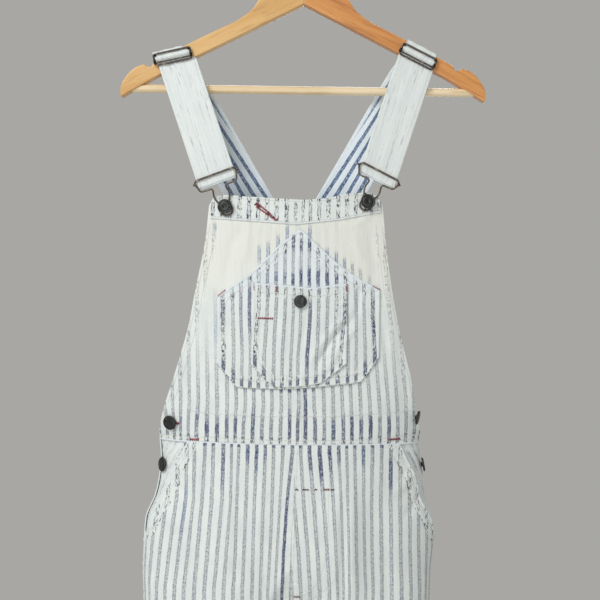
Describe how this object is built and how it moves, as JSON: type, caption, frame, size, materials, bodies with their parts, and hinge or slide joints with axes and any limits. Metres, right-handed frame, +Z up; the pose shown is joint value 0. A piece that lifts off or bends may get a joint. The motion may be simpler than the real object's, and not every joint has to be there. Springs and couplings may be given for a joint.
{
  "type": "dungarees",
  "caption": "Striped, bleached denim dungarees with a peaked bib pocket, wire clips and sliders, hung by the straps on a wooden hanger.",
  "frame": {"origin": "underside of the hanger hook's crown, where a rail carries it", "axes": "+Z up, -Y the garment's front, +X the viewer's right"},
  "size_m": [0.4212, 0.1206, 1.6116],
  "materials": {
    "striped_denim": "matt, acid washed, with grey-blue stripes 10 mm apart",
    "bronze_wire": "antique bronze plate",
    "button_metal": "dull gunmetal",
    "wood_left": "clear varnish",
    "wood_right": "clear varnish",
    "wood_bar": "clear varnish",
    "hook_steel": "bright nickel plate"
  },
  "bodies": {
    "root": {"bib_left": "striped_denim", "bib_right": "striped_denim", "bib_top_band": "striped_denim", "bib_pocket_large": "striped_denim", "bib_pocket_small": "striped_denim", "leg_front_left": "striped_denim", "leg_front_right": "striped_denim", "leg_back_left": "striped_denim", "leg_back_right": "striped_denim", "back_panel": "striped_denim", "strap_left": "striped_denim", "strap_right": "striped_denim", "hip_facing_left": "striped_denim", "hip_facing_right": "striped_denim", "slider_frame_left": "bronze_wire", "slider_frame_right": "bronze_wire", "slider_bar_left": "bronze_wire", "slider_bar_right": "bronze_wire", "clip_frame_left": "bronze_wire", "clip_frame_right": "bronze_wire", "clip_hook_left": "bronze_wire", "clip_hook_right": "bronze_wire", "bib_button_left": "button_metal", "bib_button_right": "button_metal", "pocket_button": "button_metal", "side_button_left_upper": "button_metal", "side_button_left_lower": "button_metal", "side_button_right_upper": "button_metal", "side_button_right_lower": "button_metal", "hanger_arm_left": "wood_left", "hanger_arm_right": "wood_right", "hanger_bar": "wood_bar", "hanger_hook": "hook_steel"}
  },
  "joints": []
}
